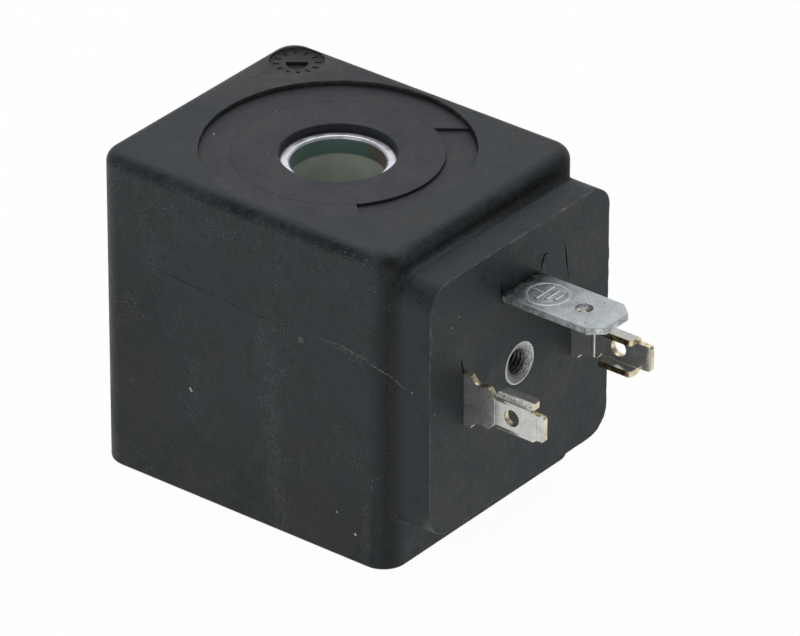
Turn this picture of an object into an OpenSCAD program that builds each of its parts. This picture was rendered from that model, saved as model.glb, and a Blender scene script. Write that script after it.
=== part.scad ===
// Encapsulated solenoid valve coil with a square plug connector pad.
// The bore stands along Z, the connector pad faces -Y, and the origin is the bore's centre on the base.

/* [Bore and winding] */
// Diameter of the through bore that slides over the valve's armature tube
bore_d = 10; // [9:0.1:12]
// Radial step from the steel bore out to the bobbin's own bore
bobbin_step = 0.2; // [0.1:0.05:0.4]
// Wall of the bobbin's tube
bobbin_wall = 0.9; // [0.7:0.1:1.5]
// Thickness of the bobbin's two flanges
flange_t = 1.2; // [1:0.1:2]
// Radial thickness of the copper winding
winding_build = 7.8; // [7:0.1:9]
// Length of the copper winding
winding_len = 27.4; // [26:0.2:34]
// Thickness of the insulating tape wrap
tape_t = 0.2; // [0.1:0.05:0.4]

/* [Yoke] */
// Thickness of the steel sheet of the U frame and its top plate
steel_t = 2; // [1.5:0.1:3]
// Width of the U frame across X
yoke_w = 24; // [20:0.5:26]
// Gap between the wrapped winding and the frame's legs
leg_gap = 0.3; // [0.2:0.05:1]
// Width of the tab on each leg that holds the top plate
tab_w = 8; // [5:0.5:11]
// Gap between the frame's front leg and the bobbin's lugs
lug_clearance = 0.4; // [0.2:0.1:1]
// Wall of the collar that brings the lower bore down to the base
collar_wall = 1.1; // [0.8:0.1:2]
// Chamfer round the upper edge of the bore
bore_chamfer = 0.25; // [0.1:0.05:0.5]

/* [Housing] */
// Moulded wall beside the winding, on the two narrow sides
side_wall = 1.8; // [1.4:0.1:3]
// Moulded wall over the frame's legs, front and back
end_wall = 2.7; // [2:0.1:4]
// Moulded skin under the frame
base_skin = 1.2; // [0.8:0.1:2]
// Depth of the steel bore face below the floor of the top recess
ring_depth = 0.9; // [0.6:0.1:2]
// Width of the bare steel face round the bore
ring_face_w = 1.15; // [0.8:0.05:2]
// Chamfer where the recess floor meets the bore
lip_chamfer = 0.15; // [0.1:0.05:0.6]
// Depth of the round recess in the top
recess_depth = 0.6; // [0.4:0.1:1.5]
// Width of the land between the recess and the narrow sides
recess_land = 1.6; // [1.5:0.1:3]
// Width of the sunken arc panel inside the recess
panel_w = 3.3; // [2:0.1:4.5]
// Depth of the sunken arc panel
panel_depth = 0.3; // [0.1:0.05:0.5]
// Angle where the sunken arc panel starts
panel_start = -132; // [-150:1:-100]
// Angle where the sunken arc panel ends
panel_end = -31; // [-60:1:-20]
// Angle by which the panel's end leans on at its inner edge
panel_lean = 7; // [0:1:12]
// Diameter of the round date dial recess in the top
dial_d = 5.8; // [4:0.1:6.6]
// Depth of the date dial recess
dial_depth = 0.4; // [0.2:0.1:0.8]
// Distance from the dial's centre to the narrow side
dial_from_side = 3.9; // [3.6:0.1:6]
// Distance from the dial's centre to the back
dial_from_back = 4; // [3.6:0.1:6]
// Radius of the upright edges
upright_edge_r = 2.8; // [2:0.1:4]
// Radius of the top edges
top_edge_r = 1.5; // [0.8:0.1:1.9]

/* [Connector pad] */
// How far the pad stands out of the front
pad_out = 4.5; // [3:0.1:7]
// Step from each narrow side in to the pad's side
pad_side_step = 1.1; // [0.6:0.1:2]
// Height of the pad's lower edge above the base
pad_base_step = 5.1; // [3:0.1:8]
// Step from the top down to the pad's upper edge
pad_top_step = 2.2; // [2:0.1:4]
// Radius of the pad's corners
pad_corner_r = 3; // [1:0.1:5]
// Distance from the pad's centre down to the axis of the insert and the line terminals
connector_drop = 0.2; // [0:0.1:1]

/* [Line terminals] */
// Distance between the two line terminals
terminal_spacing = 18; // [17:0.1:19]
// Sheet thickness of the line terminals
terminal_t = 0.7; // [0.4:0.05:0.8]
// Height of the terminal's base at the pad
terminal_h = 6.1; // [5.5:0.1:6.6]
// Length of the full height base outside the pad
base_reach = 0.8; // [0.4:0.1:1]
// Radius of the scallops above and below the base
scallop_r = 1.2; // [1.1:0.05:1.3]
// Depth of the scallops
scallop_depth = 0.8; // [0.6:0.05:0.9]
// Height of the shoulder past the scallops
shoulder_h = 4.7; // [4.4:0.1:5]
// Length of the shoulder before its corner
shoulder_flat = 0.2; // [0.1:0.05:0.25]
// Height lost on the rounded corner of the shoulder
shoulder_drop = 0.15; // [0.1:0.05:0.3]
// Length of the slope from the shoulder to the channel blade
shoulder_run = 0.5; // [0.4:0.05:0.5]
// Distance from the pad to the start of the channel blade
neck_reach = 3.8; // [3.7:0.1:4.6]
// Height of the neck before the channel blade
neck_h = 3.2; // [2.8:0.1:3.6]
// Height of the channel blade over its folds
web_h = 4.4; // [4:0.05:4.8]
// Distance from the pad to the end of the folded flanges
fold_reach = 8.5; // [7.8:0.1:9.2]
// Width of each folded flange
fold_w = 1.5; // [1:0.1:2]
// Inner radius of each fold
fold_r = 0.1; // [0.05:0.05:0.3]
// Angle of each folded flange to the web
fold_angle = 90; // [60:1:90]
// Slant on the pad side of each folded flange
fold_slant = 0.8; // [0.2:0.1:1.5]
// Radius of the free corner at each flange's end
fold_corner_r = 0.5; // [0.2:0.05:0.6]
// Distance from the pad to the tip
terminal_reach = 10.2; // [10:0.1:12]
// Height of the tip
tip_h = 2.9; // [2.5:0.05:3.1]
// Length of the coined bevel at the tip
tip_bevel = 0.8; // [0.5:0.1:1.2]
// Chamfer on the two corners of the tip
tip_corner = 0.2; // [0.1:0.05:0.5]
// Thickness that the coined bevel takes off each face at the tip
tip_coin = 0.1; // [0.05:0.01:0.15]
// Diameter of the hole in the blade
blade_hole_d = 1.9; // [1.4:0.1:2.2]
// Distance from the pad to the hole in the blade
blade_hole_reach = 6.1; // [5.8:0.1:6.8]
// Depth of the terminal behind the pad's face
terminal_depth = 7.6; // [6.5:0.1:8.5]
// Width of the upright arm that the bobbin holds
arm_w = 3; // [2:0.1:4]

/* [Earth terminal] */
// Width of the earth blade
earth_w = 6.3; // [5:0.1:8]
// Thickness of the earth blade
earth_t = 0.8; // [0.5:0.1:1.2]
// Length of the earth blade outside the pad
earth_reach = 12.3; // [10:0.1:15]
// Height of the earth blade above the line terminals
earth_lift = 9; // [8.2:0.1:10]
// Width of the chamfer on each tip corner
earth_chamfer_w = 1.3; // [0.8:0.1:2]
// Length of the chamfer on each tip corner
earth_chamfer_len = 1.5; // [0.8:0.1:2.5]
// Diameter of the hole in the earth blade
earth_hole_d = 1.8; // [1.4:0.1:2.4]
// Distance from the pad to the hole in the earth blade
earth_hole_reach = 8.1; // [6:0.1:9]
// Gap between the threaded insert and the earth terminal's foot
foot_clearance = 0.5; // [0.3:0.1:0.8]
// Diameter of the rivet that holds the earth terminal to the frame
rivet_d = 2; // [1.5:0.1:2.4]
// Diameter of the rivet's head
rivet_head_d = 3.2; // [2.8:0.1:3.6]
// Height of the rivet's head
rivet_head_h = 0.8; // [0.5:0.1:1.2]
// Depth of the countersink that takes the rivet's closed end
rivet_sink = 0.5; // [0.3:0.1:0.8]

/* [Threaded insert] */
// Core diameter of the thread for the plug's M3 screw
thread_core_d = 2.5; // [2:0.1:3.3]
// Diameter of the countersink at the pad's face
countersink_d = 4.4; // [4:0.1:5.2]
// Depth of the countersink
countersink_depth = 0.5; // [0.4:0.1:1.2]
// Flat rim round the countersink
insert_rim = 0.2; // [0.1:0.05:0.4]
// Diameter of the insert's body inside the moulding
insert_d = 6; // [5.8:0.1:6.6]
// Depth of the insert's body below the pad's face
insert_shoulder_depth = 0.8; // [0.5:0.1:1.5]
// Width and spacing of the two retaining grooves
groove_w = 0.9; // [0.5:0.1:1.2]
// Depth of the retaining grooves
groove_depth = 0.4; // [0.2:0.05:0.6]
// Steel left between the thread and the frame
insert_floor = 1; // [0.6:0.1:2]

/* [Winding leads] */
// Diameter of the lead wire
lead_d = 0.6; // [0.4:0.05:0.8]
// Wall of the sleeve on each lead
sleeve_wall = 0.2; // [0.1:0.05:0.3]
// Radius of each solder joint on the terminal's arm
solder_r = 1.2; // [1:0.1:1.4]
// Radius of each solder joint at its outer end
solder_top_r = 0.6; // [0.5:0.05:0.8]
// Height of each solder joint
solder_h = 1; // [0.9:0.05:1.2]
// Distance from each solder joint down from the bobbin's lug
solder_drop = 1.8; // [1.5:0.1:3]
// Width of the bobbin's lugs
lug_w = 3.2; // [2.4:0.1:3.4]
// Height of the bobbin's lugs
lug_h = 3; // [2:0.1:4]
// Wall of the lugs round the terminal's arm
lug_wall = 0.8; // [0.5:0.1:1]

/* [Fits] */
// Gap between pieces that seat in one another
fit_gap = 0.05; // [0.02:0.01:0.1]

/* [Hidden] */
$fn = 96;
cut = 1;

bore_r = bore_d / 2;
tube_in_r = bore_r + bobbin_step;
tube_out_r = tube_in_r + bobbin_wall;
winding_in_r = tube_out_r + fit_gap;
winding_out_r = winding_in_r + winding_build;
tape_in_r = winding_out_r + fit_gap;
coil_r = tape_in_r + tape_t;
collar_r = bore_r + collar_wall;
lip_r = bore_r + ring_face_w;

leg_in = coil_r + leg_gap;
leg_out = leg_in + steel_t;
bend_out_r = steel_t + leg_gap;

arm_top = base_skin + steel_t;
bobbin_z = arm_top + fit_gap;
winding_z = bobbin_z + flange_t + fit_gap;
upper_flange_z = winding_z + winding_len + fit_gap;
bobbin_top = upper_flange_z + flange_t;
plate_z = bobbin_top + fit_gap;
plate_top = plate_z + steel_t;
recess_floor = plate_top + ring_depth;

housing_w = 2 * (coil_r + side_wall);
housing_d = 2 * (leg_out + end_wall);
housing_h = recess_floor + recess_depth;
recess_r = housing_w / 2 - recess_land;
front = housing_d / 2;
pad_face = front + pad_out;
pad_w = housing_w - 2 * pad_side_step;
pad_h = housing_h - pad_base_step - pad_top_step;
pad_z = pad_base_step + pad_h / 2;
connector_z = pad_z - connector_drop;

terminal_x = terminal_spacing / 2;
front_leg_w = terminal_spacing - lug_w - 2 * lug_clearance;
half_t = terminal_t / 2;
half_h = terminal_h / 2;
half_shoulder = shoulder_h / 2;
half_neck = neck_h / 2;
half_web = web_h / 2;
half_tip = tip_h / 2;
tip_t = terminal_t - 2 * tip_coin;
fold_mid_r = fold_r + half_t;
fold_setback = fold_mid_r * tan(fold_angle / 2);
fold_start_v = half_web - half_t - fold_setback;
fold_edge = fold_mid_r * (1 - cos(fold_angle)) + (fold_w - fold_setback) * sin(fold_angle)
    + half_t * cos(fold_angle);
shoulder_reach = neck_reach - shoulder_run;
scallop_reach = base_reach + scallop_r;
arm_top_v = bobbin_top - connector_z;
arm_back = pad_face - terminal_depth;
arm_front = arm_back + arm_w;

earth_z = connector_z + earth_lift;
insert_r = insert_d / 2;
insert_len = pad_face - leg_out;
rim_r = countersink_d / 2 + insert_rim;
foot_z = connector_z + insert_r + foot_clearance;
rivet_z = (foot_z + earth_z - earth_t / 2) / 2;

lug_z = bobbin_top - lug_h;
solder_z = lug_z - solder_drop;
lead_r = lead_d / 2;
lead_x = terminal_x + half_t + lead_r;
lead_start = sqrt(pow(winding_out_r, 2) - pow(lead_x - lead_r, 2)) + fit_gap;
lead_end = arm_front;
sleeve_r = lead_r + fit_gap + sleeve_wall;
sleeve_start = sqrt(pow(coil_r, 2) - pow(lead_x - sleeve_r, 2)) + fit_gap;
sleeve_end = arm_back - fit_gap;
solder_y = (arm_back + arm_front) / 2;

// Rectangle with four round corners, centred
module rounded_rect(w, h, r) {
    square([w - 2 * r, h], center = true);
    square([w, h - 2 * r], center = true);
    for (x = [-1, 1], y = [-1, 1])
        translate([x * (w / 2 - r), y * (h / 2 - r)]) circle(r);
}

// Upright rectangle on the X axis with its two upper corners rounded
module top_rounded(w, h, r) {
    translate([-w / 2, 0]) square([w, h - r]);
    translate([-w / 2 + r, 0]) square([w - 2 * r, h]);
    for (x = [-1, 1]) translate([x * (w / 2 - r), h - r]) circle(r);
}

// Block with round upright edges and round top edges
module rounded_block(w, d, h, edge_r, top_r) {
    rotate([90, 0, 90])
        linear_extrude(w - 2 * edge_r, center = true) top_rounded(d, h, top_r);
    rotate([90, 0, 0])
        linear_extrude(d - 2 * edge_r, center = true) top_rounded(w, h, top_r);
    for (x = [-1, 1], y = [-1, 1])
        translate([x * (w / 2 - edge_r), y * (d / 2 - edge_r), 0])
            rotate_extrude() {
                square([edge_r, h - top_r]);
                square([edge_r - top_r, h]);
                translate([edge_r - top_r, h - top_r])
                    intersection() {
                        circle(top_r);
                        square(top_r);
                    }
            }
}

// Axis out of the connector pad, starting on the outer face of the frame's front leg
module from_front_leg(z) {
    translate([0, -leg_out, z]) rotate([90, 0, 0]) children();
}

// Terminal plane: X runs out of the pad's face, Y runs up from the connector's axis
module terminal_plane(side) {
    translate([side * terminal_x, -pad_face, connector_z]) rotate([90, 0, -90]) children();
}

// Outline of the flat terminal blank, with its scallops and hole
module terminal_outline() {
    difference() {
        union() {
            for (m = [0, 1]) mirror([0, m])
                polygon([
                    [-terminal_depth, 0], [-terminal_depth, half_h],
                    [scallop_reach, half_h], [scallop_reach, half_shoulder],
                    [shoulder_reach - shoulder_flat, half_shoulder],
                    [shoulder_reach, half_shoulder - shoulder_drop], [neck_reach, half_neck],
                    [neck_reach, fold_start_v], [fold_reach, fold_start_v], [fold_reach, half_tip],
                    [terminal_reach - tip_corner, half_tip],
                    [terminal_reach, half_tip - tip_corner], [terminal_reach, 0]
                ]);
            translate([-terminal_depth, 0]) square([arm_w, arm_top_v]);
        }
        for (v = [-1, 1])
            translate([scallop_reach, v * (half_h + scallop_r - scallop_depth)])
                circle(scallop_r);
        translate([blade_hole_reach, 0]) circle(blade_hole_d / 2);
    }
}

// Thickness of the terminal seen from above, with the coined tip
module terminal_section() {
    past_tip = tip_bevel / 8;
    end_t = tip_t - (terminal_t - tip_t) * past_tip / tip_bevel;
    polygon([
        [-terminal_depth - cut, -half_t], [terminal_reach - tip_bevel, -half_t],
        [terminal_reach + past_tip, -end_t / 2], [terminal_reach + past_tip, end_t / 2],
        [terminal_reach - tip_bevel, half_t], [-terminal_depth - cut, half_t]
    ]);
}

// One fold and its flange seen along the blade, with Y up the web and the flange towards +X
module fold_section() {
    far = 4 * fold_mid_r;
    translate([fold_mid_r, fold_start_v]) {
        intersection() {
            difference() {
                circle(fold_mid_r + half_t);
                circle(fold_mid_r - half_t);
            }
            polygon([
                [0, 0], [-far, 0], far * [-1, tan(fold_angle / 2)],
                far * [-cos(fold_angle), sin(fold_angle)]
            ]);
        }
        rotate(-fold_angle)
            translate([-fold_mid_r - half_t, 0]) square([terminal_t, fold_w - fold_setback]);
    }
}

// Outline of the flanges from above, slanted on the pad side and round at the free corner
module flange_outline() {
    past_edge = fold_w + terminal_t;
    difference() {
        polygon([
            [neck_reach, -terminal_t], [neck_reach + fold_slant, past_edge],
            [fold_reach + cut, past_edge], [fold_reach + cut, -terminal_t]
        ]);
        translate([fold_reach - fold_corner_r, fold_edge - fold_corner_r])
            difference() {
                square(fold_corner_r + cut);
                circle(fold_corner_r);
            }
    }
}

// The two folded flanges of the channel
module terminal_flanges(side) {
    intersection() {
        translate([neck_reach, 0, 0]) rotate([0, 90, 0])
            linear_extrude(fold_reach - neck_reach) rotate(90 + side * 90)
                for (m = [0, 1]) mirror([0, m]) fold_section();
        rotate([90, 0, 0])
            linear_extrude(2 * terminal_h, center = true) mirror([0, (1 - side) / 2]) flange_outline();
    }
}

// Stamped terminal: flat blank with the two flanges of its channel folded towards the centre
module line_terminal(side) {
    terminal_plane(side) {
        intersection() {
            linear_extrude(2 * terminal_t, center = true) terminal_outline();
            rotate([90, 0, 0])
                linear_extrude(2 * (terminal_h + arm_top_v), center = true) terminal_section();
        }
        terminal_flanges(side);
    }
}

// Room for one line terminal inside the moulding
module terminal_room(side) {
    terminal_plane(side)
        linear_extrude(terminal_t + 2 * fit_gap, center = true) {
            translate([-terminal_depth - fit_gap, -half_h - fit_gap])
                square([terminal_depth + fit_gap + cut, terminal_h + 2 * fit_gap]);
            translate([-terminal_depth - fit_gap, 0])
                square([arm_w + 2 * fit_gap, arm_top_v + fit_gap]);
        }
}

// Earth blade and its foot seen from the side, with the bend at the frame
module earth_profile(grow, reach) {
    blade_z = earth_z - earth_t / 2;
    bend_y = leg_out + earth_t;
    translate([bend_y, blade_z - grow])
        square([reach - bend_y, earth_t + 2 * grow]);
    translate([leg_out, foot_z - grow])
        square([earth_t + grow, blade_z - foot_z + grow]);
    intersection() {
        translate([bend_y, blade_z]) circle(earth_t + grow);
        translate([leg_out, blade_z]) square([earth_t, earth_t + grow]);
    }
}

// Upright slice across X of a profile drawn with Y pointing out of the pad
module slice_across(w) {
    rotate([90, 0, -90]) linear_extrude(w, center = true) children();
}

// Outline of the earth terminal from above
module earth_outline() {
    tip = pad_face + earth_reach;
    half_w = earth_w / 2;
    difference() {
        polygon([
            [-half_w, -leg_out + cut], [-half_w, -tip + earth_chamfer_len],
            [-half_w + earth_chamfer_w, -tip], [half_w - earth_chamfer_w, -tip],
            [half_w, -tip + earth_chamfer_len], [half_w, -leg_out + cut]
        ]);
        translate([0, -pad_face - earth_hole_reach]) circle(earth_hole_d / 2);
    }
}

// Room for the earth terminal and its rivet inside the moulding
module earth_room() {
    slice_across(earth_w + 2 * fit_gap) earth_profile(fit_gap, pad_face + cut);
    from_front_leg(rivet_z)
        cylinder(h = earth_t + rivet_head_h + fit_gap, r = rivet_head_d / 2 + fit_gap);
}

// Outer form of the threaded insert, with its retaining grooves, on the pad's axis
module insert_form(grow, len) {
    body_len = insert_len - insert_shoulder_depth;
    cylinder(h = len, r = rim_r + grow);
    difference() {
        cylinder(h = body_len + grow, r = insert_r + grow);
        for (i = [1, 2])
            translate([0, 0, body_len - 2 * i * groove_w])
                difference() {
                    translate([0, 0, grow]) cylinder(h = groove_w - 2 * grow, r = insert_r + cut);
                    cylinder(h = groove_w, r = insert_r - groove_depth + grow);
                }
    }
}

// Steel U frame seen from the side
module yoke_profile(grow) {
    wide = leg_out + grow;
    narrow = leg_in - grow;
    low = base_skin - grow;
    floor_z = arm_top + grow;
    difference() {
        translate([0, plate_z]) mirror([0, 1]) top_rounded(2 * wide, plate_z - low, bend_out_r + grow);
        translate([0, plate_z + cut]) mirror([0, 1])
            top_rounded(2 * narrow, plate_z + cut - floor_z, leg_gap - grow);
    }
}

// Steel U frame with its narrow front leg and the tabs for the top plate
module yoke_form(grow) {
    difference() {
        slice_across(yoke_w + 2 * grow) yoke_profile(grow);
        for (x = [-1, 1])
            translate([x * (front_leg_w / 2 + grow + yoke_w / 2), -leg_out, plate_z])
                cube([yoke_w, 2 * (steel_t + grow), 2 * (plate_z - bend_out_r - arm_top)], center = true);
    }
    for (y = [-1, 1])
        translate([-tab_w / 2 - grow, y * (leg_in + steel_t / 2) - steel_t / 2 - grow, plate_z - cut])
            cube([tab_w + 2 * grow, steel_t + 2 * grow, steel_t + cut + grow]);
}

// Lug on the bobbin's upper flange that carries one terminal's arm
module terminal_lug(side, grow) {
    lug_front = arm_front + lug_wall + grow;
    lug_back = arm_back - lug_wall - grow;
    strip_back = sqrt(pow(coil_r, 2) - pow(terminal_x + lug_w / 2, 2)) - cut;
    low = side * terminal_x - lug_w / 2 - grow;
    translate([low, -lug_front, lug_z - grow])
        cube([lug_w + 2 * grow, lug_front - lug_back, lug_h + 2 * grow]);
    translate([low, -lug_front, upper_flange_z - grow])
        cube([lug_w + 2 * grow, lug_front - strip_back, flange_t + 2 * grow]);
}

// Cylinder along the winding lead's path, from start to end in front of the bore
module along_lead(side, start, end, r) {
    translate([side * lead_x, -start, solder_z]) rotate([90, 0, 0]) cylinder(h = end - start, r = r);
}

// Cone of solder on the outer face of one terminal's arm
module solder_cone(side, grow) {
    translate([side * (terminal_x + half_t), -solder_y, solder_z]) rotate([0, side * 90, 0])
        cylinder(h = solder_h + grow, r1 = solder_r + grow, r2 = solder_top_r + grow);
}

// Outline of the sunken arc panel from above, with its leaning end
module arc_panel() {
    inner_r = recess_r - panel_w;
    far_r = 2 * recess_r;
    middle = (panel_start + panel_end) / 2;
    end_inner = inner_r * [cos(panel_end + panel_lean), sin(panel_end + panel_lean)];
    end_outer = recess_r * [cos(panel_end), sin(panel_end)];
    end_far = end_outer + (end_outer - end_inner) * recess_r / panel_w;
    intersection() {
        difference() {
            circle(recess_r);
            circle(inner_r);
        }
        polygon([
            [0, 0], far_r * [cos(panel_start), sin(panel_start)],
            far_r * [cos(middle), sin(middle)], end_far, end_inner
        ]);
    }
}

// Outer block, connector pad and everything sunk into its top
module housing_shell() {
    difference() {
        union() {
            rounded_block(housing_w, housing_d, housing_h, upright_edge_r, top_edge_r);
            translate([0, -front + upright_edge_r, pad_z]) rotate([90, 0, 0])
                linear_extrude(pad_out + upright_edge_r) rounded_rect(pad_w, pad_h, pad_corner_r);
        }
        translate([0, 0, recess_floor]) cylinder(h = recess_depth + cut, r = recess_r);
        translate([0, 0, recess_floor - panel_depth])
            linear_extrude(panel_depth + recess_depth) arc_panel();
        translate([housing_w / 2 - dial_from_side, front - dial_from_back, housing_h - dial_depth])
            cylinder(h = dial_depth + cut, r = dial_d / 2);
        translate([0, 0, plate_z]) cylinder(h = housing_h, r = lip_r);
        translate([0, 0, recess_floor - lip_chamfer])
            cylinder(h = lip_chamfer, r1 = lip_r, r2 = lip_r + lip_chamfer);
    }
}

module housing() {
    color([0.16, 0.17, 0.17])
        difference() {
            housing_shell();
            translate([0, 0, -cut]) cylinder(h = base_skin + 2 * cut, r = collar_r + fit_gap);
            translate([0, 0, arm_top]) cylinder(h = plate_z - arm_top, r = coil_r + fit_gap);
            yoke_form(fit_gap);
            translate([0, 0, plate_z + steel_t / 2])
                cube([yoke_w + 2 * fit_gap, 2 * (leg_out + fit_gap), steel_t + 2 * fit_gap], center = true);
            earth_room();
            from_front_leg(connector_z) insert_form(fit_gap, insert_len + cut);
            for (side = [-1, 1]) {
                terminal_room(side);
                terminal_lug(side, fit_gap);
                along_lead(side, lead_start, lead_end + fit_gap, lead_r + fit_gap);
                along_lead(side, sleeve_start, sleeve_end + fit_gap, sleeve_r + fit_gap);
                solder_cone(side, fit_gap);
            }
        }
}

module bobbin() {
    color([0.62, 0.6, 0.47])
        difference() {
            union() {
                rotate_extrude() {
                    translate([tube_in_r, bobbin_z]) square([bobbin_wall, bobbin_top - bobbin_z]);
                    for (z = [bobbin_z, upper_flange_z])
                        translate([tube_in_r, z]) square([coil_r - tube_in_r, flange_t]);
                }
                for (side = [-1, 1]) terminal_lug(side, 0);
            }
            for (side = [-1, 1]) terminal_room(side);
        }
}

module winding() {
    color([0.72, 0.4, 0.2])
        rotate_extrude()
            translate([winding_in_r, winding_z]) square([winding_build, winding_len]);
}

module winding_tape() {
    color([0.85, 0.75, 0.35])
        difference() {
            rotate_extrude()
                translate([tape_in_r, winding_z]) square([tape_t, winding_len]);
            for (side = [-1, 1])
                along_lead(side, lead_start - cut, lead_end, lead_r + fit_gap);
        }
}

module yoke() {
    color([0.6, 0.62, 0.64])
        difference() {
            union() {
                yoke_form(0);
                cylinder(h = arm_top, r = collar_r);
            }
            translate([0, 0, -cut]) cylinder(h = arm_top + 2 * cut, r = bore_r);
            from_front_leg(rivet_z) {
                translate([0, 0, -steel_t - cut])
                    cylinder(h = steel_t + 2 * cut, r = rivet_d / 2 + fit_gap);
                translate([0, 0, -steel_t])
                    cylinder(h = rivet_sink, r1 = rivet_d / 2 + rivet_sink + fit_gap, r2 = rivet_d / 2 + fit_gap);
            }
        }
}

module yoke_plate() {
    color([0.72, 0.74, 0.76])
        difference() {
            translate([0, 0, plate_z + steel_t / 2])
                cube([yoke_w, 2 * leg_out, steel_t], center = true);
            for (y = [-1, 1])
                translate([0, y * leg_out, plate_z + steel_t / 2])
                    cube([tab_w + 2 * fit_gap, 2 * (steel_t + fit_gap), steel_t + cut], center = true);
            translate([0, 0, plate_z - cut]) cylinder(h = steel_t + 2 * cut, r = bore_r);
            translate([0, 0, plate_top - bore_chamfer])
                cylinder(h = bore_chamfer, r1 = bore_r, r2 = bore_r + bore_chamfer);
        }
}

module line_terminal_left() {
    color([0.78, 0.76, 0.7]) line_terminal(-1);
}

module line_terminal_right() {
    color([0.78, 0.76, 0.7]) line_terminal(1);
}

module earth_terminal() {
    color([0.66, 0.69, 0.72])
        difference() {
            intersection() {
                slice_across(earth_w) earth_profile(0, pad_face + earth_reach);
                linear_extrude(housing_h) earth_outline();
            }
            from_front_leg(rivet_z)
                translate([0, 0, -cut]) cylinder(h = earth_t + 2 * cut, r = rivet_d / 2 + fit_gap);
        }
}

module earth_rivet() {
    color([0.7, 0.7, 0.7])
        from_front_leg(rivet_z) {
            translate([0, 0, -steel_t]) cylinder(h = steel_t + earth_t, r = rivet_d / 2);
            translate([0, 0, -steel_t])
                cylinder(h = rivet_sink, r1 = rivet_d / 2 + rivet_sink, r2 = rivet_d / 2);
            translate([0, 0, earth_t]) cylinder(h = rivet_head_h, r = rivet_head_d / 2);
        }
}

module threaded_insert() {
    color([0.62, 0.64, 0.65])
        from_front_leg(connector_z)
            difference() {
                insert_form(0, insert_len);
                translate([0, 0, insert_floor]) cylinder(h = insert_len, r = thread_core_d / 2);
                translate([0, 0, insert_len - countersink_depth])
                    cylinder(h = countersink_depth, r1 = thread_core_d / 2, r2 = countersink_d / 2);
            }
}

// One end of the winding, from the copper to the terminal's arm
module lead(side) {
    color([0.72, 0.4, 0.2]) along_lead(side, lead_start, lead_end, lead_r);
}

// Insulating sleeve between the tape and the terminal's arm
module sleeve(side) {
    color([0.9, 0.9, 0.85])
        difference() {
            along_lead(side, sleeve_start, sleeve_end, sleeve_r);
            along_lead(side, sleeve_start - cut, sleeve_end + cut, lead_r + fit_gap);
        }
}

// Solder joint round the end of one lead
module solder(side) {
    color([0.75, 0.75, 0.76])
        difference() {
            solder_cone(side, 0);
            along_lead(side, sleeve_end - cut, lead_end + cut, lead_r + fit_gap);
        }
}

module start_lead() { lead(-1); }
module finish_lead() { lead(1); }
module start_sleeve() { sleeve(-1); }
module finish_sleeve() { sleeve(1); }
module start_solder() { solder(-1); }
module finish_solder() { solder(1); }

housing();
bobbin();
winding();
winding_tape();
yoke();
yoke_plate();
line_terminal_left();
line_terminal_right();
earth_terminal();
earth_rivet();
threaded_insert();
start_lead();
finish_lead();
start_sleeve();
finish_sleeve();
start_solder();
finish_solder();
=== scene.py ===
"""Looks of the solenoid valve coil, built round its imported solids.

The housing, terminals, insert and top plate get softened meshes that replace their solids, and every
piece gets a procedural finish. Lengths are in millimetres until a mesh is made, which is in metres.
"""
import math

import bmesh
import bpy
from mathutils import Matrix, Vector, geometry, noise
from mathutils.bvhtree import BVHTree


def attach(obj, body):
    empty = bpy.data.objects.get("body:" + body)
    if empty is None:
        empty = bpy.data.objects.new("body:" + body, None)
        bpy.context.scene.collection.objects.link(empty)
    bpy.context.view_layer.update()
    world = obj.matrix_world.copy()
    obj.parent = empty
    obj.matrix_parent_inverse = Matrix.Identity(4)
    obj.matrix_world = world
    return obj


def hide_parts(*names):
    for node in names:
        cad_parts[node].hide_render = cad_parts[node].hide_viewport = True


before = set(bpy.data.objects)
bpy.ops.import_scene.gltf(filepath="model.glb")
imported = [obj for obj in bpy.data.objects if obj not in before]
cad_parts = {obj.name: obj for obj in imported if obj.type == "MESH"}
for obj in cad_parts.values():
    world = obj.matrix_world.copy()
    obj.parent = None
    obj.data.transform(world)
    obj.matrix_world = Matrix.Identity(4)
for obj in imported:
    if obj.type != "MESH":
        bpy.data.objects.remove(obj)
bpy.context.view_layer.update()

MM = 0.001

# Housing block, with the bore along Z
BLOCK_W = 32.0
BLOCK_D = 38.4
BLOCK_H = 36.7
UPRIGHT_R = 2.8
TOP_R = 1.5
BASE_R = 0.3
BASE_STEPS = 3
EDGE_STEPS = 12
FRONT = BLOCK_D / 2

# Connector pad on the front, with a fillet at its root and a ragged mould line round its face
PAD_W = 29.8
PAD_H = 29.4
PAD_R = 3.0
PAD_OUT = 4.5
PAD_Z = 19.8
PAD_FACE = FRONT + PAD_OUT
PAD_SIDE_STEPS = 70
PAD_BACK = 16.0
ROOT_R = 0.7
ROOT_SINK = 0.01
ROOT_STEPS = 6
ROOT_SAMPLES = 60
ROOT_HALVINGS = 40
PAD_WALL_MID = 1.3
EDGE_BREAK = 0.16
FLASH_MAX = 0.09
RAGGED_MAX = 0.1
RUBBED_IN = -0.12
EDGE_WEAR = (0.08, 1.7, 0.17)
CORNER_WEAR = 0.7
CORNER_WEAR_R = 3.2
# Painted light along the bottom edge, where the white floor lights it
BASE_EDGE_LIGHT = 0.35
# Painted highlight along the recess's rounded rim
RIM_HIGHLIGHT = 0.8

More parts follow.
